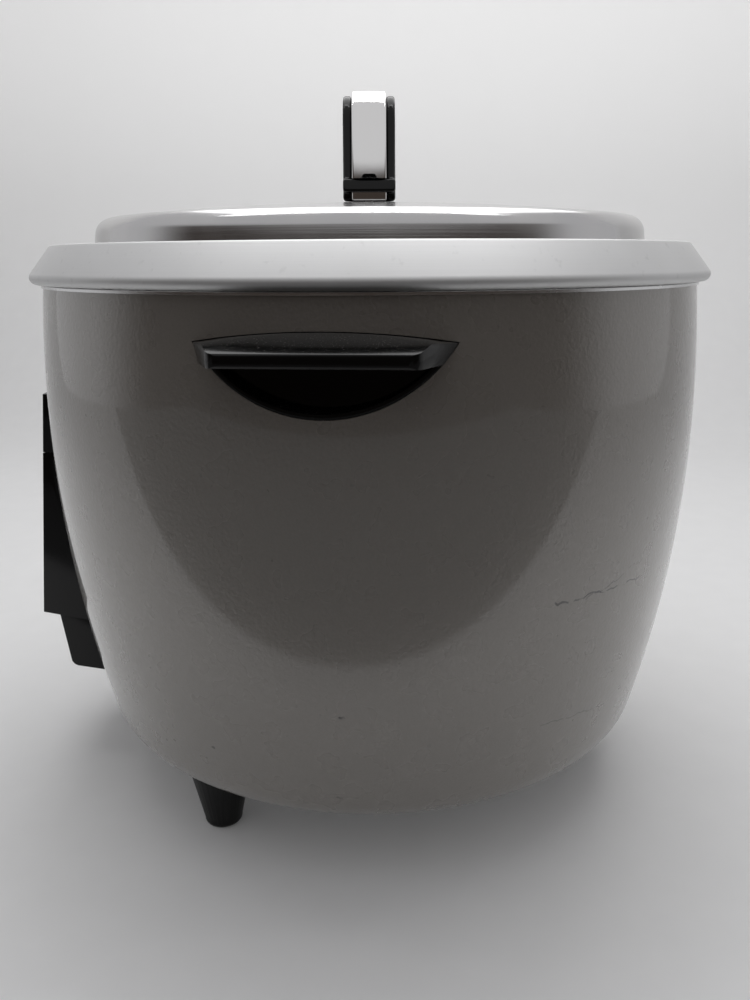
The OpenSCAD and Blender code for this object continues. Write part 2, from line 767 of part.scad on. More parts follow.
module lever_bracket() {
    top = liner_z - liner_t;
    color("silver") difference() {
        union() {
            translate([-cheek_x - 12, -pivot_y - 7, top - 1.5]) cube([2 * cheek_x + 24, 14, 1.5]);
            for (x = [-cheek_x - 1.5, cheek_x]) translate([x, -pivot_y - 7, pivot_z - 5])
                cube([1.5, 14, top - pivot_z + 5]);
        }
        translate([-20, -pivot_y, pivot_z]) rotate([0, 90, 0]) cylinder(r = pin_r + 0.02, h = 40);
        at_lever_rivets() translate([0, 0, top - 5]) cylinder(r = 1.5 + 0.05, h = 10);
    }
}

module lever_rivets() {
    top = liner_z - liner_t;
    color("silver") at_lever_rivets() {
        translate([0, 0, top - 2.7]) cylinder(r = 3, h = 1.2);
        translate([0, 0, top - 2]) cylinder(r = 1.5, h = 4);
        translate([0, 0, liner_z]) cylinder(r = 3, h = 1.2);
    }
}

module pivot_pin() {
    color("white") translate([-cheek_x - 3, -pivot_y, pivot_z]) rotate([0, 90, 0]) {
        cylinder(r = pin_r, h = 2 * cheek_x + 6);
        cylinder(r = pin_r + 1.2, h = 1.3);
    }
}

module micro_switch() {
    top = lever_z - lever_t / 2 - 4;
    color([0.1, 0.1, 0.1]) difference() {
        translate([-5, -switch_y - 14, floor_z + 6]) cube([10, 28, top - floor_z - 6]);
        translate([0, -switch_y, top - 9]) cylinder(r = 1.6 + run_fit, h = 20);
    }
}

module switch_plunger() {
    top = lever_z - lever_t / 2 - 4;
    color("tomato") translate([0, -switch_y, top - 5]) cylinder(r = 1.6, h = 8.7);
}

module switch_stand() {
    color("silver") {
        translate([-9, -switch_y - 14, floor_z]) cube([18, 24, 1.5]);
        translate([-5, -switch_y - 14, floor_z + 1.5]) cube([10, 20, 4.5]);
    }
}

// Thermostat ---------------------------------------------------------

stat_cup_r = stat_r + 4;

module thermostat_cap() {
    skirt_z = cap_z - 26.7;
    color([0.8, 0.8, 0.8]) turned([
        [0, cap_z - 1.5], [stat_r - 1.5, cap_z - 1.5], [stat_r - 1.5, skirt_z], [stat_r, skirt_z],
        [stat_r, cap_z - 1], [stat_r - 1, cap_z], [0, cap_z]
    ]);
}

module ferrite_disc() {
    color([0.2, 0.2, 0.2]) translate([0, 0, ferrite_z]) cylinder(r = stat_r - 5, h = ferrite_t);
}

module at_stat_screws() {
    for (a = [45, 225]) rotate([0, 0, a]) translate([stat_cup_r + 6, 0, plate_z - 1.5]) children();
}

module thermostat_bracket() {
    color("silver") difference() {
        turned([
            [rod_r + fit, stat_floor_z], [stat_cup_r, stat_floor_z], [stat_cup_r, plate_z - 1.5],
            [stat_cup_r + 11, plate_z - 1.5], [stat_cup_r + 11, plate_z], [stat_cup_r - 1.5, plate_z],
            [stat_cup_r - 1.5, stat_floor_z + 1.5], [rod_r + fit, stat_floor_z + 1.5]
        ]);
        at_stat_screws() translate([0, 0, -1]) cylinder(r = screw_r + fit, h = 6);
    }
}

module thermostat_screws() {
    color("gray") at_stat_screws() bolt(8);
}

// A closed skin over rings of points, each ring with as many points as sides
module skinned(rings, sides) {
    count = len(rings);
    polyhedron(
        [for (ring = rings) each ring],
        concat(
            [[for (j = [0:sides - 1]) j]],
            [for (i = [0:count - 2], j = [0:sides - 1]) let (k = (j + 1) % sides)
                [i * sides + j, (i + 1) * sides + j, (i + 1) * sides + k, i * sides + k]],
            [[for (j = [sides - 1:-1:0]) (count - 1) * sides + j]]),
        convexity = 8);
}

// A spring of n turns, whose wire's centre climbs from z0 to z1
module coil(r, wire_r, z0, z1, n) {
    sides = 6;
    steps = n * 16;
    skinned([for (i = [0:steps]) [for (j = [0:sides - 1])
        let (a = 360 * n * i / steps, b = -360 * j / sides, x = r + wire_r * cos(b))
        [x * cos(a), x * sin(a), z0 + (z1 - z0) * i / steps + wire_r * sin(b)]]], sides);
}

module thermostat_spring() {
    color("silver") coil(stat_r - 0.8, 0.7, stat_floor_z + 2.3, cap_z - 27.5, 3);
}

module magnet() {
    color([0.25, 0.25, 0.27]) translate([0, 0, magnet_z]) cylinder(r = magnet_r, h = magnet_t);
}

module magnet_holder() {
    low = lever_z - lever_t / 2 - 0.9;
    high = lever_z + lever_t / 2 + 0.9;
    color("gold") {
        turned([
            [0, low - 1.5], [rod_r + 3, low - 1.5], [rod_r + 3, low], [rod_r, low], [rod_r, high],
            [rod_r + 3, high], [rod_r + 3, high + 1.5], [rod_r, high + 1.5], [rod_r, magnet_z - 1.5],
            [magnet_r + 1.8, magnet_z - 1.5], [magnet_r + 1.8, magnet_z + magnet_t - 0.6],
            [magnet_r + 0.1, magnet_z + magnet_t - 0.6], [magnet_r + 0.1, magnet_z], [0, magnet_z]
        ]);
    }
}

module magnet_spring() {
    color("silver") coil(8, 0.6, magnet_z + magnet_t + 0.7, ferrite_z - 0.7, 4);
}

// Heater -------------------------------------------------------------

module at_posts() {
    for (a = [30, 150, 270]) rotate([0, 0, a]) translate([plate_r - 18, 0, 0]) children();
}

module at_terminals() {
    for (a = [70, 110]) rotate([0, 0, a]) translate([element_ring_r, 0, 0]) children();
}

module heater_plate() {
    color([0.72, 0.72, 0.73]) difference() {
        turned([
            [stat_r + 1.5, plate_z], [plate_r - 4, plate_z], [plate_r, plate_z + 4],
            [plate_r, pan_z - 2], [plate_r - 2, pan_z], [stat_r + 1.5, pan_z]
        ]);
        rotate_extrude() translate([element_ring_r, plate_z]) circle(r = element_r + 0.2);
        at_posts() translate([0, 0, plate_z - 1]) cylinder(r = screw_r + 0.05, h = 9);
        at_stat_screws() translate([0, 0, 0]) cylinder(r = screw_r + 0.05, h = 9);
    }
}

module heater_element() {
    color("dimgray") {
        rotate([0, 0, 110]) rotate_extrude(angle = 320)
            translate([element_ring_r, plate_z]) circle(r = element_r);
        at_terminals() translate([0, 0, liner_z - 14]) cylinder(r = 2.5, h = liner_gap + 14);
    }
}

module heater_posts() {
    color("silver") at_posts() translate([0, 0, liner_z]) difference() {
        cylinder(r = 6, h = liner_gap);
        translate([0, 0, -1]) cylinder(r = screw_r + fit, h = liner_gap + 2);
    }
}

module heater_screws() {
    color("gray") at_posts() translate([0, 0, liner_z - liner_t]) bolt(liner_gap + 8);
}

module warm_heater() {
    r = liner_r + liner_t + 0.1;
    z = pan_z + pan_h * 0.22;
    color("burlywood") rotate([0, 0, -10]) rotate_extrude(angle = 200)
        translate([r, z]) square([1.2, 34]);
}

// Power --------------------------------------------------------------

module inlet_box(grow) {
    translate([-inlet_w / 2 - grow, foot_ring_r - 6, inlet_z - grow])
        cube([inlet_w + 2 * grow, 60, inlet_h + 2 * grow]);
}

inlet_mid_z = inlet_z + inlet_h / 2;
socket_y = body_r(inlet_mid_z) - socket_depth;
pin_places = [[-6.5, 0], [6.5, 0], [0, 3.5]];
inlet_screw_x = 10;
inlet_leg_w = 8;
inlet_wall = 4;
pin_size = [2, 4];
pin_back_y = foot_ring_r - 12;
pin_out = 11;

module at_inlet_screws() {
    for (side = [1, -1])
        translate([side * inlet_screw_x, foot_ring_r - 0.5, floor_z - base_plate_t]) children();
}

module at_pin(p, y) {
    translate([p.x, y, inlet_mid_z + p.y]) children();
}

module power_inlet() {
    color([0.08, 0.08, 0.08]) difference() {
        union() {
            intersection() {
                inlet_box(0);
                body_solid(0);
            }
            for (side = [1, -1])
                translate([side * inlet_screw_x - inlet_leg_w / 2, foot_ring_r - 6, floor_z])
                    cube([inlet_leg_w, 10, inlet_z - floor_z + 1]);
        }
        translate([-inlet_w / 2 + inlet_wall, socket_y, inlet_z + inlet_wall])
            cube([inlet_w - 2 * inlet_wall, 60, inlet_h - 2 * inlet_wall]);
        for (p = pin_places) at_pin(p, foot_ring_r - 4)
            cube([pin_size.x + 0.2, 60, pin_size.y + 0.2], center = true);
        at_inlet_screws() cylinder(r = 1.55, h = 10);
    }
}

module inlet_pins() {
    length = socket_y - pin_back_y + pin_out;
    color("silver") for (p = pin_places)
        at_pin(p, pin_back_y + length / 2) cube([pin_size.x, length, pin_size.y], center = true);
}

module inlet_screws() {
    color("silver") at_inlet_screws() {
        translate([0, 0, -shell_t + 0.2]) cylinder(r = 3, h = shell_t - 0.2);
        cylinder(r = 1.5, h = 9);
    }
}

block_at = [30, foot_ring_r - 56];

module terminal_block() {
    color("ivory") translate([block_at.x, block_at.y, floor_z]) difference() {
        cube([38, 18, 16]);
        for (x = [7, 19, 31]) translate([x, 9, 5]) cylinder(r = 2.5, h = 20);
    }
}

fuse_at = [46, element_ring_r - 54];

fuse_r = 4;
fuse_z = liner_z - liner_t - fuse_r - 0.1;
fuse_l = 24;

module thermal_fuse() {
    color("white") translate([fuse_at.x, fuse_at.y, fuse_z]) rotate([90, 0, 0])
        cylinder(r = fuse_r, h = fuse_l, center = true);
}

// A wire of radius wire_r through points
module wire(points) {
    wire_r = 1.5;
    sides = 8;
    last = len(points) - 1;
    skinned([for (i = [0:last])
        let (way = points[min(i + 1, last)] - points[max(i - 1, 0)], t = way / norm(way),
            n = cross(t, [0.3, 0.9, 0.1]), u = n / norm(n), v = cross(t, u))
        [
            for (j = [0:sides - 1]) let (b = 360 * j / sides)
                points[i] + wire_r * (cos(b) * u + sin(b) * v)
        ]
    ], sides);
}

module wiring() {
    live = [pin_places[1].x, pin_back_y - 1, inlet_mid_z];
    neutral = [pin_places[0].x, pin_back_y - 1, inlet_mid_z];
    port_in = [block_at.x + 7, block_at.y + 9, floor_z + 9];
    port_out = [block_at.x + 19, block_at.y + 9, floor_z + 9];
    port_rise = [0, 0, 62 - floor_z - 9];
    fuse_ends = [for (side = [1, -1]) [fuse_at.x, fuse_at.y + side * (fuse_l / 2 + 0.3), fuse_z]];
    post = [for (a = [70, 110]) [element_ring_r * cos(a), element_ring_r * sin(a), liner_z - 14]];
    color("firebrick") {
        wire([
            live, [10, pin_back_y - 10, live.z], [port_in.x, pin_back_y - 22, 66],
            port_in + port_rise, port_in
        ]);
        wire([
            neutral, [-20, pin_back_y - 12, 62], [post[1].x, post[1].y, 60], post[1] - [0, 0, 0.2]
        ]);
        wire([
            port_out, port_out + port_rise, [fuse_at.x, fuse_at.y + 30, 70],
            [fuse_at.x, fuse_at.y + 18, fuse_z], fuse_ends[0]
        ]);
        wire([
            fuse_ends[1], [fuse_at.x, fuse_at.y - 22, fuse_z], [22, fuse_at.y - 10, 68],
            [post[0].x, post[0].y, 62], post[0] - [0, 0, 0.2]
        ]);
    }
}

outer_shell();
top_ring();
inner_liner();
base_plate();
foot(1);  // foot_front_right
foot(0);  // foot_front_left
foot(2);  // foot_rear
foot_screws();
foot_nuts();
inner_pan();
lid();
lid_handle();
lid_handle_strip();
lid_screws();
lid_washers();
side_handle(1);  // side_handle_right
side_handle(-1);  // side_handle_left
handle_bracket(1);  // handle_bracket_right
handle_bracket(-1);  // handle_bracket_left
handle_screws();
panel_housing();
panel_cap();
panel_screws();
lens(-1, "orangered");  // lens_cook
lens(1, "orange");  // lens_warm
lamp_holder();
neon_lamps();
key_guard();
cook_key();
key_screw();
lever_arm();
lever_bracket();
lever_rivets();
pivot_pin();
micro_switch();
switch_plunger();
switch_stand();
thermostat_cap();
thermostat_bracket();
thermostat_spring();
thermostat_screws();
ferrite_disc();
magnet();
magnet_holder();
magnet_spring();
heater_plate();
heater_element();
heater_posts();
heater_screws();
warm_heater();
terminal_block();
thermal_fuse();
power_inlet();
inlet_pins();
inlet_screws();
wiring();
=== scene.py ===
# %% [markdown]
# # A drop-in rice cooker
# The mechanical model is already made. This lesson dresses it: it loads the model as a frame,
# sets up a camera and a small studio, builds fine meshes for the surfaces that are seen, and
# gives every piece a finish that is made of nodes. All sizes are in metres, so a small helper
# turns the millimetres that a maker thinks in into metres.

# %% Load the frame
import json
import math

import bpy
from mathutils import Euler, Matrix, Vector


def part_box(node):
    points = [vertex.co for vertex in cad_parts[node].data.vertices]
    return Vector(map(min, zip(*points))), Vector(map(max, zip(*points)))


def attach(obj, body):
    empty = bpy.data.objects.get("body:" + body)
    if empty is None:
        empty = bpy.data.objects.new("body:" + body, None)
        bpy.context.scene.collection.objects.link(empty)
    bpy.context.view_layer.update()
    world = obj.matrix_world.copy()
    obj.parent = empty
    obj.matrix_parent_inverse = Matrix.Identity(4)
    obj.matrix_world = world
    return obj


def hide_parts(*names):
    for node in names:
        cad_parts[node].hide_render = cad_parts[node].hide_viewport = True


MM = 0.001
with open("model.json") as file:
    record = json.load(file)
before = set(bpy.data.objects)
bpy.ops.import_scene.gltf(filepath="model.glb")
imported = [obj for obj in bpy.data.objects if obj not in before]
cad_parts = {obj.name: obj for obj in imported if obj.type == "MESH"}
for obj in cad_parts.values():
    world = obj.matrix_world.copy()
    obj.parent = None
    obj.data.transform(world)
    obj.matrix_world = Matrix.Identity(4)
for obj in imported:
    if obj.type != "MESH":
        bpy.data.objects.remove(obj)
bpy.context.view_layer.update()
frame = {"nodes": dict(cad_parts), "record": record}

# %% [markdown]
# ## The camera
# The view is from the right-hand side of the cooker, a little behind its side handle, with a
# wide lens about half a metre away. The lens gives the strong perspective, in which the
# brim's near edge bulges, so the distance and the focal length are set together.

# %% Camera
VIEW_AZIMUTH = 96.0
VIEW_DISTANCE = 0.5252
VIEW_HEIGHT = 0.3107
VIEW_SIDE_STEP = 0.002
PITCH_DOWN = 15.88
ROLL = -0.34
LENS = 30.6
FILM_WIDTH = 36

turn = math.radians(VIEW_AZIMUTH)
outward = Vector((math.sin(turn), -math.cos(turn), 0))
rightward = Vector((math.cos(turn), math.sin(turn), 0))
stand = outward * VIEW_DISTANCE + rightward * VIEW_SIDE_STEP + Vector((0, 0, VIEW_HEIGHT))
bpy.ops.object.camera_add(location=stand)
camera = bpy.context.object
camera.name = "view_camera"
camera.data.sensor_width = FILM_WIDTH
camera.data.lens = LENS
aim = Euler((math.radians(90 - PITCH_DOWN), 0, turn)).to_matrix()
camera.rotation_euler = (aim @ Euler((0, 0, math.radians(ROLL))).to_matrix()).to_euler()
camera.data.clip_start = 0.01
bpy.context.scene.camera = camera
bpy.context.scene.view_settings.view_transform = "Standard"
print("The camera stands at", tuple(round(v, 3) for v in camera.location))

# %% [markdown]
# ## Finishes from nodes
# A finish that looks real changes over the surface: paint has orange peel, spun metal has
# rings, moulded plastic has dust. Typing such sums as nodes is slow to read, so one small class
# wraps a socket and lets ordinary arithmetic add the Math nodes, and one method adds any
# other node.

# %% The shader helpers
class Num:
    """A value that changes over a surface. Arithmetic on it adds Math nodes."""

    def __init__(self, look, socket):
        self.look = look
        self.socket = socket

    def math(self, operation, *terms):
        return self.look.node("Math", {"operation": operation}, dict(enumerate(terms)))

    def __add__(self, other):
        return self.math("ADD", self, other)

    def __sub__(self, other):
        return self.math("SUBTRACT", self, other)

    def __rsub__(self, other):
        return self.math("SUBTRACT", other, self)

    def __mul__(self, other):
        return self.math("MULTIPLY", self, other)

    def __pow__(self, other):
        return self.math("POWER", self, other)

    __radd__ = __add__
    __rmul__ = __mul__

    def between(self, low, high):
        """0 below low and 1 above high, with a smooth step between them."""
        settings = {"interpolation_type": "SMOOTHSTEP"}
        return self.look.node("MapRange", settings, {"Value": self, "From Min": low, "From Max": high})


class Look:
    """A material under construction."""

    def __init__(self, name):
        self.material = bpy.data.materials.new(name)
        self.material.use_nodes = True
        self.nodes = self.material.node_tree.nodes
        self.links = self.material.node_tree.links
        self.nodes.clear()

    def node(self, kind, settings=None, sockets=None, output=0):
        made = self.nodes.new("ShaderNode" + kind)
        for name, value in (settings or {}).items():
            setattr(made, name, value)
        for name, value in (sockets or {}).items():
            if isinstance(value, Num):
                self.links.new(value.socket, made.inputs[name])
            else:
                made.inputs[name].default_value = value
        return Num(self, made.outputs[output])

    def place(self):
        return self.node("TexCoord", output="Object")

    def axes(self):
        place = self.place()
        return [self.node("SeparateXYZ", None, {0: place}, i) for i in range(3)]

    def around(self):
        """Distance from the upright axis, angle round it in radians, and height."""
        x, y, z = self.axes()
        return (x * x + y * y) ** 0.5, y.math("ARCTAN2", y, x), z

    def join(self, x, y, z):
        return self.node("CombineXYZ", None, {0: x, 1: y, 2: z})

    def noise(self, scale, detail, where=None):
        sockets = {"Vector": where or self.place(), "Scale": scale, "Detail": detail}
        return self.node("TexNoise", None, sockets)

    def mix(self, factor, low, high):
        """Colour low where the factor is 0, and colour high where it is 1."""
        return self.node("Mix", {"data_type": "RGBA"}, {0: factor, 6: low, 7: high}, 2)

    def bump(self, height, distance, strength=1.0):
        return self.node("Bump", None, {"Height": height, "Distance": distance, "Strength": strength})

    def surface(self, **sockets):
        named = {}
        for key, value in sockets.items():
            named[key.replace("_", " ").title().replace("Ior", "IOR")] = value
        shader = self.node("BsdfPrincipled", None, named)
        output = self.nodes.new("ShaderNodeOutputMaterial")
        self.links.new(shader.socket, output.inputs["Surface"])
        return self.material


def grey(level, warmth=0.0):
    """A grey of that linear level, a little warmer or cooler."""
    return (level * (1 + warmth), level, level * (1 - warmth), 1)


print("The shader helpers are ready")

# %% [markdown]
# ## The studio
# A pale paper sweep with a curved backdrop, under a large soft lamp that hangs a little behind,
# so that the lid and the brim are bright while the side that faces the camera stays in soft
# shade. A thin strip lamp draws a line of light along rounded edges. To the eye the floor and the
# room are pale all round, and metal and glass show them so at the back and the sides. Low down in
# front, reflections see a dim room. The paper does not end there: past a line in front its colour
# is painted dark for every ray but the camera's, a painted dim reflection that also darkens the
# light it bounces. Gloss paint shows what it faces, so this gives it a bright lower half with a
# clear edge.

# %% Studio
FLOOR_BACK = 1.25
FLOOR_FRONT = 1.8
FLOOR_HALF_WIDTH = 2.2
WALL_HEIGHT = 1.6
WALL_CURVE = 0.45
PAPER = 0.84
DIM_PAINTED_PAPER = 0.16
WALL_GLOW = 0.5
GRADE_FROM = 0.325
GRADE_TO = 0.350
WORLD_BACK = (0.46, 0.46, 0.47, 1)
WORLD_SEEN = (0.60, 0.60, 0.61, 1)
WORLD_FRONT = (0.042, 0.033, 0.028, 1)
WORLD_TURN = (-0.10, 0.40)
WORLD_LIFT = (0.40, 0.30)
TOP_LAMP = {"place": (-0.40, 0, 1.3), "size": (1.2, 1.3), "power": 8.8}
EDGE_STRIP = {"place": (0.12, 0, 1.05), "size": (0.02, 1.1), "power": 0.9}
LAMP_AIM = (0, 0, 0.2)


def lay_studio():
    bpy.ops.object.select_all(action="DESELECT")
    length = FLOOR_BACK + FLOOR_FRONT
    bpy.ops.mesh.primitive_plane_add(size=1, location=((FLOOR_FRONT - FLOOR_BACK) / 2, 0, 0))
    sweep = bpy.context.object
    sweep.name = "studio_sweep"
    sweep.scale = (length, 2 * FLOOR_HALF_WIDTH, 1)
    bpy.ops.object.transform_apply(location=True, rotation=False, scale=True)
    bpy.ops.object.mode_set(mode="EDIT")
    bpy.ops.mesh.select_all(action="DESELECT")
    bpy.ops.object.mode_set(mode="OBJECT")
    for edge in sweep.data.edges:
        edge.select = all(sweep.data.vertices[v].co.x < 0.01 - FLOOR_BACK for v in edge.vertices)
    bpy.ops.object.mode_set(mode="EDIT")
    bpy.ops.mesh.extrude_region_move(TRANSFORM_OT_translate={"value": (0, 0, WALL_HEIGHT)})
    bpy.ops.object.mode_set(mode="OBJECT")
    bend = sweep.modifiers.new("curve", "BEVEL")
    bend.width = WALL_CURVE
    bend.segments = 16
    bpy.ops.object.modifier_apply(modifier=bend.name)
    bpy.ops.object.shade_smooth()
    look = Look("studio_paper")
    paper = look.mix(look.noise(35, 3), grey(PAPER * 0.95), grey(PAPER))
    seen = look.node("LightPath", output="Is Camera Ray")
    mirrored = look.node("LightPath", output="Is Glossy Ray")
    through = look.node("LightPath", output="Is Transmission Ray")
    # Past GRADE_FROM the paper's colour is painted dark for all but camera rays: a painted dim
    # reflection.
    ahead = look.axes()[0].between(GRADE_FROM, GRADE_TO) * (1 - seen)
    shown = seen + mirrored + through
    wall = look.axes()[2].between(-0.2, 1.2) * shown
    sweep.data.materials.append(look.surface(
        base_color=look.mix(ahead, paper, grey(DIM_PAINTED_PAPER)), roughness=0.55,
        emission_color=look.mix(wall, grey(0), grey(WALL_GLOW)), emission_strength=1.0))


def hang_lamp(name, place, size, power):
    bpy.ops.object.light_add(type="AREA", location=place)
    lamp = bpy.context.object
    lamp.name = name
    lamp.data.shape = "RECTANGLE"
    lamp.data.size, lamp.data.size_y = size
    lamp.data.energy = power
    lamp.rotation_euler = (Vector(LAMP_AIM) - Vector(place)).to_track_quat("-Z", "Z").to_euler()


def paint_world():
    """Pale to the eye, in metal and in glass. Low down on the camera's side reflections are dim."""
    world = bpy.data.worlds.new("studio_world")
    world.use_nodes = True
    nodes, links = world.node_tree.nodes, world.node_tree.links

    def put(kind, sockets, **settings):
        node = nodes.new(kind)
        for key, value in settings.items():
            setattr(node, key, value)
        for index, value in sockets.items():
            if isinstance(value, bpy.types.NodeSocket):
                links.new(value, node.inputs[index])
            else:
                node.inputs[index].default_value = value
        return node

    def calc(operation, first, second):
        node = put("ShaderNodeMath", {0: first, 1: second}, operation=operation, use_clamp=True)
        return node.outputs[0]

    def blend(factor, first, second):
        return put("ShaderNodeMix", {0: factor, 6: first, 7: second}, data_type="RGBA").outputs[2]

    def step(value, span):
        sockets = {"Value": value, "From Min": span[0], "From Max": span[1]}
        return put("ShaderNodeMapRange", sockets, interpolation_type="SMOOTHSTEP").outputs[0]

    ray = nodes.new("ShaderNodeLightPath").outputs
    mirrored = calc("ADD", ray["Is Glossy Ray"], ray["Is Transmission Ray"])
    shown = calc("ADD", ray["Is Camera Ray"], mirrored)
    way = nodes.new("ShaderNodeTexCoord").outputs["Generated"]
    way = put("ShaderNodeSeparateXYZ", {0: way}).outputs
    front = calc("MULTIPLY", step(way["X"], WORLD_TURN), step(way["Z"], WORLD_LIFT))
    front = calc("MULTIPLY", front, calc("SUBTRACT", 1.0, ray["Is Camera Ray"]))
    tone = blend(front, blend(shown, WORLD_BACK, WORLD_SEEN), WORLD_FRONT)
    links.new(tone, nodes["Background"].inputs["Color"])
    bpy.context.scene.world = world


lay_studio()
hang_lamp("top_lamp", **TOP_LAMP)
hang_lamp("edge_strip", **EDGE_STRIP)
paint_world()
print("The studio has a floor, a backdrop and two lamps")

# %% [markdown]
# ## The painted body's finish
# The body is sheet steel sprayed silver-grey and baked. Its colour here is set darker and warmer
# than that paint, a painted shade over the whole body. Sprayed paint isn't smooth: it has
# orange peel, a dimpling a few millimetres wide that breaks up each reflection, and fine specks
# of pigment. The peel goes to a bump, the specks to the colour, and a clear coat gives the gloss.
# Years of use left a few long scratches and chips, each drawn as a thin wavering line.

# %% Painted body
# The speck and cloud tones are the paint's own specks, but their level is darker and warmer than the
# silver-grey paint: painted shade.
SHADED_PAINT_DARK = (0.209, 0.192, 0.172, 1)
SHADED_PAINT_LIGHT = (0.252, 0.233, 0.210, 1)
SHADED_PAINT_CLOUD = (0.20, 0.190, 0.178, 1)
PIT_TONE = (0.16, 0.15, 0.14, 1)
WORN_TONE = (0.020, 0.017, 0.015, 1)
PEEL_DEPTH = 0.00014
BODY_RADIUS = 0.18
MARKS = (
    ((33.1, 0.1577), (41.9, 0.1578), 0.0006, 0.9),
    ((41.9, 0.1578), (54.4, 0.1570), 0.0006, 0.9),
    ((39.0, 0.1560), (50.0, 0.1655), 0.0005, 0.6),
    ((34.0, 0.0900), (49.1, 0.0852), 0.0005, 0.5),
    ((1.4, 0.1070), (1.8, 0.1074), 0.0012, 1.0),
    ((-21.3, 0.0782), (-21.0, 0.0780), 0.0010, 0.8),
    ((-0.6, 0.0583), (0.8, 0.0583), 0.0010, 0.9),
)


def scratch(look, start, end, width, depth=1.0):
    """How much of a scratch there is at a place; start and end are (degrees round the body, height)."""
    _, angle, height = look.around()
    along = [math.radians(p[0]) * BODY_RADIUS for p in (start, end)]
    run = (along[1] - along[0], end[1] - start[1])
    length = math.hypot(*run)
    u = angle * BODY_RADIUS - along[0]
    v = height - start[1]
    part = u * (run[0] / length**2) + v * (run[1] / length**2)
    part = part.math("MAXIMUM", part, 0.0)
    part = part.math("MINIMUM", part, 1.0)
    wander = (look.noise(90, 3) - 0.5) * (width * 14)
    off = (u * (run[1] / length) - v * (run[0] / length) + wander) ** 2.0
    ahead = ((u * (run[0] / length) + v * (run[1] / length)) - part * length) ** 2.0
    broken = look.noise(160, 2).between(0.38, 0.52)
    distance = (off + ahead) ** 0.5
    return (1 - distance.between(width * 0.4, width)) * broken * depth


def make_painted_steel():
    look = Look("painted_steel")
    speck = look.noise(900, 1)
    cloud = look.noise(14, 3)
    tone = look.mix(speck, SHADED_PAINT_DARK, SHADED_PAINT_LIGHT)
    tone = look.mix(cloud * 0.25, tone, SHADED_PAINT_CLOUD)
    pit = look.noise(210, 2).between(0.74, 0.77)
    tone = look.mix(pit * 0.5, tone, PIT_TONE)
    worn = sum(scratch(look, *mark) for mark in MARKS)
    tone = look.mix(worn, tone, WORN_TONE)
    peel = look.noise(560, 1) + look.noise(230, 1) * 0.5
    normal = look.bump(peel - worn * 0.5, PEEL_DEPTH)
    rough = look.noise(60, 2) * 0.08 + 0.24
    return look.surface(base_color=tone, metallic=0.22, roughness=rough, normal=normal,
                        coat_weight=0.8, coat_roughness=0.045, coat_ior=1.7)


# %% [markdown]
# ## Spun and polished metal
# The pan and the lid were spun on a lathe, so their finest marks run round the axis. Such rings
# are noise that changes quickly with the radius and the height and hardly at all with the angle.
# They feed the roughness and a very small bump. A second, softer noise stands for hand polish.

# %% Metals
RING_DEPTH = 0.00003
RING_SWING = 1.5


def ring_marks(look, fine):
    """Noise in thin rings round the upright axis."""
    radius, angle, height = look.around()
    where = look.join(radius * fine, angle * RING_SWING, height * fine)
    return look.noise(1.0, 2, where)


def make_spun_aluminium():
    look = Look("spun_aluminium")
    rings = ring_marks(look, 2600)
    cloud = look.noise(22, 3)
    scuff = look.noise(260, 3).between(0.62, 0.75)
    tone = look.mix(cloud, grey(0.61), grey(0.70))
    tone = look.mix(scuff * 0.25, tone, grey(0.45))
    rough = rings * 0.10 + cloud * 0.08 + 0.46
    return look.surface(base_color=tone, metallic=1.0, roughness=rough,
                        normal=look.bump(rings, RING_DEPTH, 0.6))


def make_polished_stainless():
    look = Look("polished_stainless")
    rings = ring_marks(look, 1800)
    smear = look.noise(30, 4)
    tone = look.mix(smear, (0.50, 0.50, 0.51, 1), (0.64, 0.63, 0.62, 1))
    rough = rings * 0.07 + smear * 0.12 + 0.10
    return look.surface(base_color=tone, metallic=1.0, roughness=rough,
                        normal=look.bump(rings, RING_DEPTH, 0.5))


def make_metal(name, level, rough, warmth=0.0, grain=400, depth=0.00004):
    """Plain metal with a fine grain and some handling marks."""
    look = Look(name)
    mark = look.noise(grain, 3)
    smear = look.noise(45, 3)
    tone = look.mix(smear, grey(level * 0.92, warmth), grey(level, warmth))
    return look.surface(base_color=tone, metallic=1.0, roughness=smear * 0.1 + rough,
                        normal=look.bump(mark, depth, 0.6))


def make_chrome():
    look = Look("chrome_strip")
    smear = look.noise(60, 3)
    return look.surface(base_color=grey(0.88, 0.01), metallic=1.0, roughness=smear * 0.05 + 0.04,
                        normal=look.bump(smear, 0.00006, 0.5))


# %% [markdown]
# ## Moulded plastic
# The handles, the switch panel and the key guard are black gloss mouldings. Black shows every
# grain of dust, so the finish has pale specks on faces that look up, a soft film of grease in the
# roughness, and the faint waviness of a moulding in its bump. The feet and the inlet are satin.

# %% Plastics
def make_black_plastic(name, rough, dust):
    look = Look(name)
    film = look.noise(38, 4)
    upward = look.node("SeparateXYZ", None, {0: look.node("NewGeometry", None, None, "Normal")}, "Z")
    grain = look.noise(1400, 2).between(0.60, 0.70) * upward.between(0.2, 0.9)
    tone = look.mix(grain * dust, grey(0.004), grey(0.13, 0.08))
    wave = look.noise(75, 2) + look.noise(900, 1) * 0.08
    rough = film * 0.12 + grain * 0.2 + rough
    return look.surface(base_color=tone, roughness=rough, specular_ior_level=0.28,
                        normal=look.bump(wave, 0.0002, 0.35))


def make_plastic(name, colour, rough, grain=900):
    look = Look(name)
    cloud = look.noise(50, 2)
    shade = tuple(c * 0.85 for c in colour[:3]) + (1,)
    return look.surface(base_color=look.mix(cloud, shade, colour), roughness=cloud * 0.1 + rough,
                        normal=look.bump(look.noise(grain, 1), 0.00005, 0.4))


def make_lens(name, colour):
    look = Look(name)
    depth = look.noise(400, 2)
    dark = tuple(c * 0.55 for c in colour[:3]) + (1,)
    return look.surface(base_color=look.mix(depth, dark, colour), roughness=depth * 0.05 + 0.08,
                        coat_weight=0.5, normal=look.bump(depth, 0.00004, 0.3))


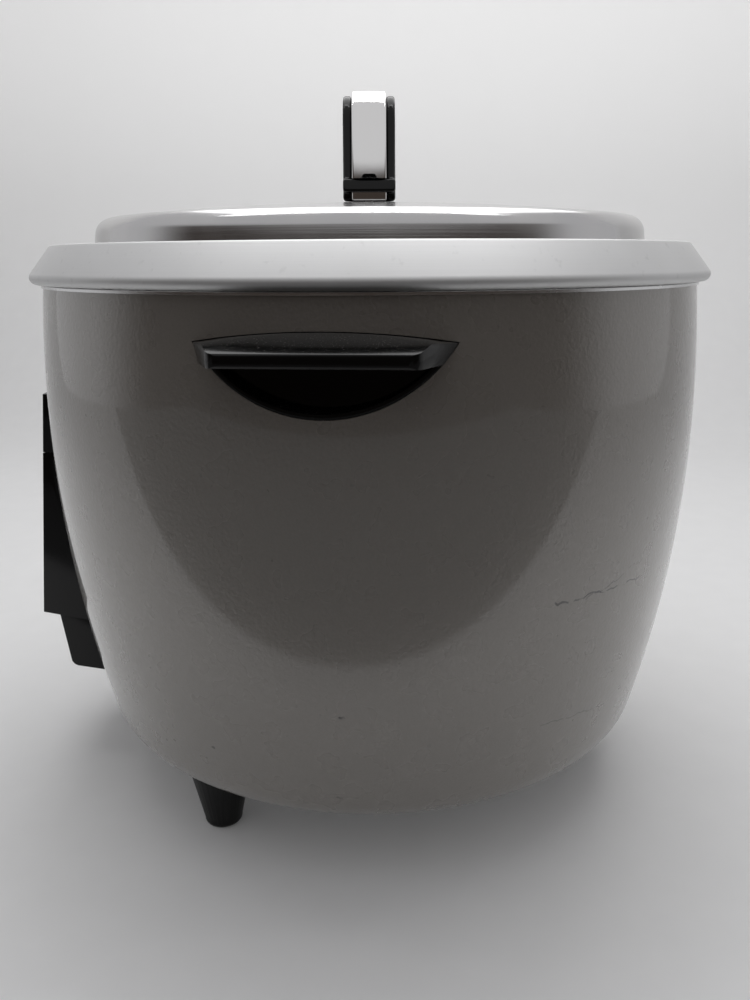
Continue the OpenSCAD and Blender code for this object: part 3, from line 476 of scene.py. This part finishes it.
LOOKS = {
    "painted_steel": make_painted_steel(),
    "spun_aluminium": make_spun_aluminium(),
    "polished_stainless": make_polished_stainless(),
    "chrome_strip": make_chrome(),
    "bright_trim": make_metal("bright_trim", 0.72, 0.20),
    "galvanised_steel": make_metal("galvanised_steel", 0.52, 0.36, -0.01, 120, 0.00008),
    "zinc_fasteners": make_metal("zinc_fasteners", 0.60, 0.26, 0.02),
    "spring_steel": make_metal("spring_steel", 0.50, 0.22),
    "cast_aluminium": make_metal("cast_aluminium", 0.58, 0.38, 0.0, 700, 0.0001),
    "heater_tube": make_metal("heater_tube", 0.22, 0.45, 0.04, 900, 0.0001),
    "brass_parts": make_metal("brass_parts", 0.62, 0.28, 0.32),
    "black_gloss": make_black_plastic("black_gloss", 0.07, 0.35),
    "black_matte": make_black_plastic("black_matte", 0.34, 0.3),
    "ferrite": make_plastic("ferrite", (0.045, 0.045, 0.05, 1), 0.5),
    "red_lens": make_lens("red_lens", (0.52, 0.03, 0.012, 1)),
    "amber_lens": make_lens("amber_lens", (0.78, 0.31, 0.02, 1)),
    "ivory_plastic": make_plastic("ivory_plastic", (0.74, 0.70, 0.60, 1), 0.42),
    "lamp_glass": make_plastic("lamp_glass", (0.85, 0.62, 0.42, 1), 0.08),
    "red_plastic": make_plastic("red_plastic", (0.52, 0.045, 0.03, 1), 0.35),
    "heater_tape": make_plastic("heater_tape", (0.60, 0.48, 0.31, 1), 0.75, 300),
    "fuse_ceramic": make_plastic("fuse_ceramic", (0.84, 0.82, 0.78, 1), 0.3),
    "wire_sleeve": make_plastic("wire_sleeve", (0.45, 0.055, 0.035, 1), 0.5),
}
print("There are", len(LOOKS), "finishes")

# %% [markdown]
# ## Drawing a profile and spinning it
# Almost all of this object was spun or turned, so its sheets are made the same way: a single
# point is extruded along half of a cross-section, and the Spin operator takes it round the axis.
# Doubles are merged first and the normals are worked out afterwards, because a spun sheet can
# come out inside out.

# %% The spinning helpers
SPIN_STEPS = 240
WELD = 0.00001
SMOOTH_BELOW = math.radians(38)


def arc(x, z, radius, start, end, count):
    """Points on an arc about (x, z), with its angles in degrees."""
    turns = [math.radians(start + (end - start) * i / count) for i in range(count + 1)]
    return [(x + radius * math.cos(t), z + radius * math.sin(t)) for t in turns]


def beside(path, distance):
    """The path moved sideways, to its right, by a distance."""
    moved = []
    for i, point in enumerate(path):
        before, after = path[max(i - 1, 0)], path[min(i + 1, len(path) - 1)]
        run = Vector((after[0] - before[0], after[1] - before[1])).normalized()
        moved.append((max(point[0] + run.y * distance, 0), point[1] - run.x * distance))
    return moved


def draw_profile(name, points):
    """A chain of edges through points of radius and height, in millimetres, left in edit mode."""
    bpy.ops.object.select_all(action="DESELECT")
    bpy.ops.mesh.primitive_plane_add(size=MM, location=(0, 0, 0))
    bpy.context.object.name = name
    bpy.ops.object.mode_set(mode="EDIT")
    bpy.ops.mesh.merge(type="CENTER")
    bpy.ops.transform.translate(value=(points[0][0] * MM, 0, points[0][1] * MM))
    for here, there in zip(points, points[1:]):
        step = ((there[0] - here[0]) * MM, 0, (there[1] - here[1]) * MM)
        bpy.ops.mesh.extrude_vertices_move(TRANSFORM_OT_translate={"value": step})


def close_up(piece):
    """Merges the doubles, turns the faces outwards and smooths all but the sharp edges."""
    bpy.ops.mesh.select_all(action="SELECT")
    bpy.ops.mesh.remove_doubles(threshold=WELD)
    bpy.ops.mesh.normals_make_consistent(inside=False)
    bpy.ops.object.mode_set(mode="OBJECT")
    bpy.ops.object.shade_smooth_by_angle(angle=SMOOTH_BELOW)
    print(piece.name, "has", len(piece.data.polygons), "faces")


def spun(name, points):
    """The closed profile through the points, taken once round the upright axis."""
    draw_profile(name, points + points[:1])
    bpy.ops.mesh.select_all(action="SELECT")
    bpy.ops.mesh.spin(steps=SPIN_STEPS, angle=math.tau, center=(0, 0, 0), axis=(0, 0, 1))
    close_up(bpy.context.object)
    return bpy.context.object


def sheet_of(path, thickness):
    """The outline of a sheet whose outer face is the path and whose wall lies to its right."""
    return path + beside(path, thickness)[::-1]


def pick(piece):
    """Makes the piece the only one selected, and the active one."""
    bpy.ops.object.select_all(action="DESELECT")
    bpy.context.view_layer.objects.active = piece
    piece.select_set(True)


def combine(piece, tool, operation):
    """Cuts the tool out of the piece, or keeps what both share, and takes the tool away."""
    pick(piece)
    both = piece.modifiers.new("combine", "BOOLEAN")
    both.operation = operation
    both.solver = "EXACT"
    both.object = tool
    bpy.ops.object.modifier_apply(modifier=both.name)
    bpy.data.objects.remove(tool)


def dress(piece, slot, body, *nodes):
    """Gives a piece its finish, hides the nodes it stands for and hangs it on the body it rides on."""
    piece.data.materials.clear()
    piece.data.materials.append(LOOKS[slot])
    if nodes:
        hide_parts(*nodes)
    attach(piece, body)
    return piece


# %% [markdown]
# ## The body
# The body is one deep pressing: its side follows a long shallow curve, widest a third of the way
# down from the top, and a tighter curve turns it in to the base. The side is one arc and the
# corner is another that meets it smoothly. The two hand grips sit in half-moon openings, each cut
# by the overlap of two large cylinders, and the power inlet comes out through a small window.

# %% Painted body shell
BELLY_ARC = 692.0
CORNER_RADIUS = 24.0
SHELL_WALL = 1.2
GAP = 0.35
BELLY_UP = 184
FLANGE_IN = 170.0
BASE_HOLE = 118.0
MOON_LOW_RISE = 30.0
MOON_X = 185
MOON_DEPTH = 60
WINDOW_FROM = 150
WINDOW_TO = 190
WINDOW_TALL = 24

shell_low, shell_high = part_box("outer_shell")
BELLY = shell_high.x / MM
BASE_Z = shell_low.z / MM
TOP_Z = shell_high.z / MM
BELLY_Z = BASE_Z + BELLY_UP
grip_low, grip_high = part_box("side_handle_right")


def body_side():
    """The outline of the body from its top edge to the flat of its base."""
    centre = BELLY - BELLY_ARC
    corner_z = BASE_Z + CORNER_RADIUS
    corner_x = centre + math.sqrt((BELLY_ARC - CORNER_RADIUS) ** 2 - (BELLY_Z - corner_z) ** 2)
    low = math.degrees(math.atan2(corner_z - BELLY_Z, corner_x - centre))
    high = math.degrees(math.asin((TOP_Z - BELLY_Z) / BELLY_ARC))
    side = arc(centre, BELLY_Z, BELLY_ARC, high, low, 40)
    corner = arc(corner_x, corner_z, CORNER_RADIUS, low, -90, 16)
    return side + corner[1:]


def half_moon():
    """The outline of a hand grip, as a bar along X: where two lying cylinders overlap."""
    width = grip_high.y / MM
    high_rise = (grip_high.z - grip_low.z) / MM - MOON_LOW_RISE
    bars = []
    for rise, way in ((MOON_LOW_RISE, 1), (high_rise, -1)):
        radius = (width**2 + rise**2) / (2 * rise)
        tip = grip_low.z / MM if way > 0 else grip_high.z / MM
        bpy.ops.object.select_all(action="DESELECT")
        bpy.ops.mesh.primitive_cylinder_add(
            vertices=512, radius=(radius + GAP) * MM, depth=MOON_DEPTH * MM,
            location=(MOON_X * MM, 0, (tip + way * radius) * MM), rotation=(0, math.pi / 2, 0))
        bars.append(bpy.context.object)
    moon, other = bars
    combine(moon, other, "INTERSECT")
    return moon


def box_cutter(low, high):
    bpy.ops.object.select_all(action="DESELECT")
    bpy.ops.mesh.primitive_cube_add(size=1, location=(Vector(low) + Vector(high)) / 2)
    cutter = bpy.context.object
    cutter.scale = Vector(high) - Vector(low)
    bpy.ops.object.transform_apply(location=False, rotation=False, scale=True)
    return cutter


def settle(piece):
    """Puts the piece's place into its mesh and smooths it."""
    pick(piece)
    bpy.ops.object.transform_apply(location=True, rotation=True, scale=True)
    bpy.ops.object.shade_smooth_by_angle(angle=SMOOTH_BELOW)


def make_body_shell():
    path = [(FLANGE_IN, TOP_Z)] + body_side() + [(BASE_HOLE, BASE_Z)]
    shell = spun("body_shell", sheet_of(path, SHELL_WALL))
    for side in (1, -1):
        moon = half_moon()
        moon.location.x *= side
        bpy.context.view_layer.update()
        combine(shell, moon, "DIFFERENCE")
    inlet_low, inlet_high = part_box("power_inlet")
    edge = Vector((GAP * MM, 0, GAP * MM))
    low = Vector((inlet_low.x, WINDOW_FROM * MM, inlet_high.z - WINDOW_TALL * MM)) - edge
    high = Vector((inlet_high.x, WINDOW_TO * MM, inlet_high.z)) + edge
    combine(shell, box_cutter(low, high), "DIFFERENCE")
    settle(shell)
    return dress(shell, "painted_steel", "body", "outer_shell")


make_body_shell()

# %% [markdown]
# ## The pan and its brim
# The pan is thick spun aluminium. Its brim steps down to hold the lid, rolls over a crisp upper
# edge, slopes out, and ends in a bead rolled round a wire. The near edge of that bead is the
# widest thing in view, so its roundness and the thin line of light on the upper edge matter most.

# %% Pan with brim
pan_low, pan_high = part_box("inner_pan")
BRIM_TOP = pan_high.z / MM
BRIM = pan_high.x / MM
PAN_FLOOR = pan_low.z / MM
PAN_WALL = 2.0
PAN_IN = 148.0
PAN_CORNER = 26
LEDGE_DOWN = 13
LEDGE_ROUND = 2
SEAT = 158.5
SEAT_ROUND = 1
ROLL_ROUND = 3
ROLL_OUT = 4.6
SLOPE_WIDE = 10.6
CREST_RADIUS = 2.0
BRIM_DROP = 19.5
BEAD = 3.4


def make_pan():
    floor_z = PAN_FLOOR + PAN_WALL
    ledge_z = BRIM_TOP - LEDGE_DOWN
    bead_z = BRIM_TOP - BRIM_DROP + BEAD
    inside = [(0, floor_z)]
    inside += arc(PAN_IN - PAN_CORNER, floor_z + PAN_CORNER, PAN_CORNER, -90, 0, 14)
    inside += arc(PAN_IN + LEDGE_ROUND, ledge_z - LEDGE_ROUND, LEDGE_ROUND, 180, 90, 4)
    inside += arc(SEAT - SEAT_ROUND, ledge_z + SEAT_ROUND, SEAT_ROUND, -90, 0, 3)
    inside += arc(SEAT + ROLL_OUT, BRIM_TOP - ROLL_ROUND, ROLL_ROUND, 180, 90, 6)
    crest = Vector((BRIM - SLOPE_WIDE - CREST_RADIUS, BRIM_TOP - CREST_RADIUS))
    run = Vector((BRIM - BEAD, bead_z)) - crest
    slope = math.degrees(math.atan2(run.y, run.x) + math.acos((CREST_RADIUS - BEAD) / run.length))
    inside += arc(crest.x, crest.y, CREST_RADIUS, 90, slope, 6)
    bead = arc(BRIM - BEAD, bead_z, BEAD, slope, -205, 26)
    outside = beside(inside, PAN_WALL)[::-1]
    pan = spun("pan_and_brim", inside + bead + outside)
    return dress(pan, "spun_aluminium", "pan", "inner_pan")


make_pan()

# %% [markdown]
# ## The ring under the brim
# A thin bright ring covers the joint between the painted body and the liner. Only its edge is
# seen, as a fine line of light in the shadow under the bead, so it gets a small rounded lip.

# %% Bright ring
RING_IN = 155.5
RING_WALL = 0.6
RING_ROUND = 0.7
ring_low, ring_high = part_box("top_ring")


def make_trim_ring():
    out, top, low = ring_high.x / MM, ring_high.z / MM, ring_low.z / MM
    inner, under = out - RING_WALL, top - RING_WALL
    path = [(RING_IN, top)] + arc(out - RING_ROUND, top - RING_ROUND, RING_ROUND, 90, 0, 6)
    path += [(out, low), (inner, low), (inner, under), (RING_IN, under)]
    ring = spun("trim_ring", path)
    return dress(ring, "bright_trim", "body", "top_ring")


make_trim_ring()

# %% [markdown]
# ## The lid
# The lid is a shallow stainless dome with a rounded shoulder and a steep side that drops into the
# brim. Its edge is curled, which stiffens it and hides the raw sheet. It is spun as a sheet from
# one outline, so the dome, the shoulder and the curl run into each other without a seam.

# %% Lid
lid_low, lid_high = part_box("lid")
LID = lid_high.x / MM
CROWN_Z = lid_high.z / MM
LID_WALL = 1.0
SHOULDER = 9.0
DOME_RISE = 8.0
SIDE_LEAN = 2.5
CURL = 1.5
CURL_NECK = (0.8, 3.4)
DOME_EDGE = LID - SHOULDER - SIDE_LEAN
DOME_ARC = (DOME_EDGE**2 + DOME_RISE**2) / (2 * DOME_RISE)
SHOULDER_Z = CROWN_Z - DOME_RISE


def make_lid():
    curl_z = lid_low.z / MM + CURL
    dome_end = 90 - math.degrees(math.asin(DOME_EDGE / DOME_ARC))
    path = arc(0, CROWN_Z - DOME_ARC, DOME_ARC, 90, dome_end, 40)
    path += arc(DOME_EDGE, SHOULDER_Z - SHOULDER, SHOULDER, 82, 8, 12)
    path += [(LID - CURL_NECK[0], curl_z + CURL_NECK[1])]
    inner = beside(path, LID_WALL)[::-1]
    curl = arc(LID - CURL, curl_z, CURL, 60, -250, 14)
    lid = spun("lid_dome", path + curl + inner)
    return dress(lid, "polished_stainless", "lid", "lid")


make_lid()

# %% [markdown]
# ## Mouldings and pressed parts
# The handles, the panel, the guard, the key and the feet have forms that the frame already holds
# exactly, but with knife-sharp edges that no moulding has. A copy of the frame's mesh is joined
# up, its flat faces are dissolved back into whole faces, and a bevel rounds each edge, which is
# what catches the light.

# The lid's handle is a ring, whose whole face would close its opening, so it keeps four-sided
# faces. Its bevel, like its strip's, is wider than the clamp allows.

# %% Rounded copies of the frame's parts
ROUND_STEPS = 3
SHARP_ABOVE = math.radians(32)
FLAT_BELOW = math.radians(1)
RING_SHAPED = ("lid_handle",)
FREE_BEVELS = ("lid_handle", "lid_handle_strip")


def rounded_copy(node, name, width):
    """A copy of a node's mesh with its edges rounded by a width in millimetres."""
    source = frame["nodes"][node]
    piece = bpy.data.objects.new(name, source.data.copy())
    bpy.context.scene.collection.objects.link(piece)
    pick(piece)
    bpy.ops.object.mode_set(mode="EDIT")
    bpy.ops.mesh.select_all(action="SELECT")
    bpy.ops.mesh.remove_doubles(threshold=WELD)
    if node in RING_SHAPED:
        bpy.ops.mesh.tris_convert_to_quads(face_threshold=FLAT_BELOW, shape_threshold=math.pi)
    else:
        bpy.ops.mesh.dissolve_limited(angle_limit=FLAT_BELOW)
    bpy.ops.object.mode_set(mode="OBJECT")
    edge = piece.modifiers.new("rounding", "BEVEL")
    edge.width = width * MM
    edge.segments = ROUND_STEPS
    edge.limit_method = "ANGLE"
    edge.angle_limit = SHARP_ABOVE
    edge.use_clamp_overlap = node not in FREE_BEVELS
    bpy.ops.object.modifier_apply(modifier=edge.name)
    bpy.ops.object.shade_smooth_by_angle(angle=SMOOTH_BELOW)
    print(name, "has", len(piece.data.polygons), "faces")
    return piece


MOULDINGS = [
    ("side_handle_right", "grip_right", 1.0, "body"),
    ("side_handle_left", "grip_left", 1.0, "body"),
    ("lid_handle", "arch_frame", 1.4, "lid"),
    ("lid_handle_strip", "arch_strip", 1.1, "lid"),
    ("panel_housing", "panel_box", 1.2, "body"),
    ("panel_cap", "panel_top", 1.2, "body"),
    ("key_guard", "guard", 0.8, "body"),
    ("cook_key", "key", 0.8, "key"),
    ("foot_front_right", "foot_1", 0.5, "body"),
    ("foot_front_left", "foot_2", 0.5, "body"),
    ("foot_rear", "foot_3", 0.5, "body"),
    ("power_inlet", "inlet", 0.5, "body"),
    ("lens_cook", "cook_lamp_lens", 0.4, "body"),
    ("lens_warm", "warm_lamp_lens", 0.4, "body"),
]
slot_of = {part["node"]: part["material_slot"] for part in frame["record"]["subparts"]}
for node, name, width, body in MOULDINGS:
    dress(rounded_copy(node, name, width), slot_of[node], body, node)

# %% [markdown]
# ## The works inside
# The liner, the heater, the thermostat and the lever are out of sight until the pan is lifted
# out. Their meshes come from the frame as they are, and each takes the finish of its record's
# slot, so that the inside looks right too.

# %% Finishes for the rest
dressed = {"outer_shell", "inner_pan", "top_ring", "lid"} | {row[0] for row in MOULDINGS}
for name, node in frame["nodes"].items():
    if name not in dressed:
        node.data.materials.clear()
        node.data.materials.append(LOOKS[slot_of[name]])
print(len(frame["nodes"]) - len(dressed), "nodes keep the frame's mesh")
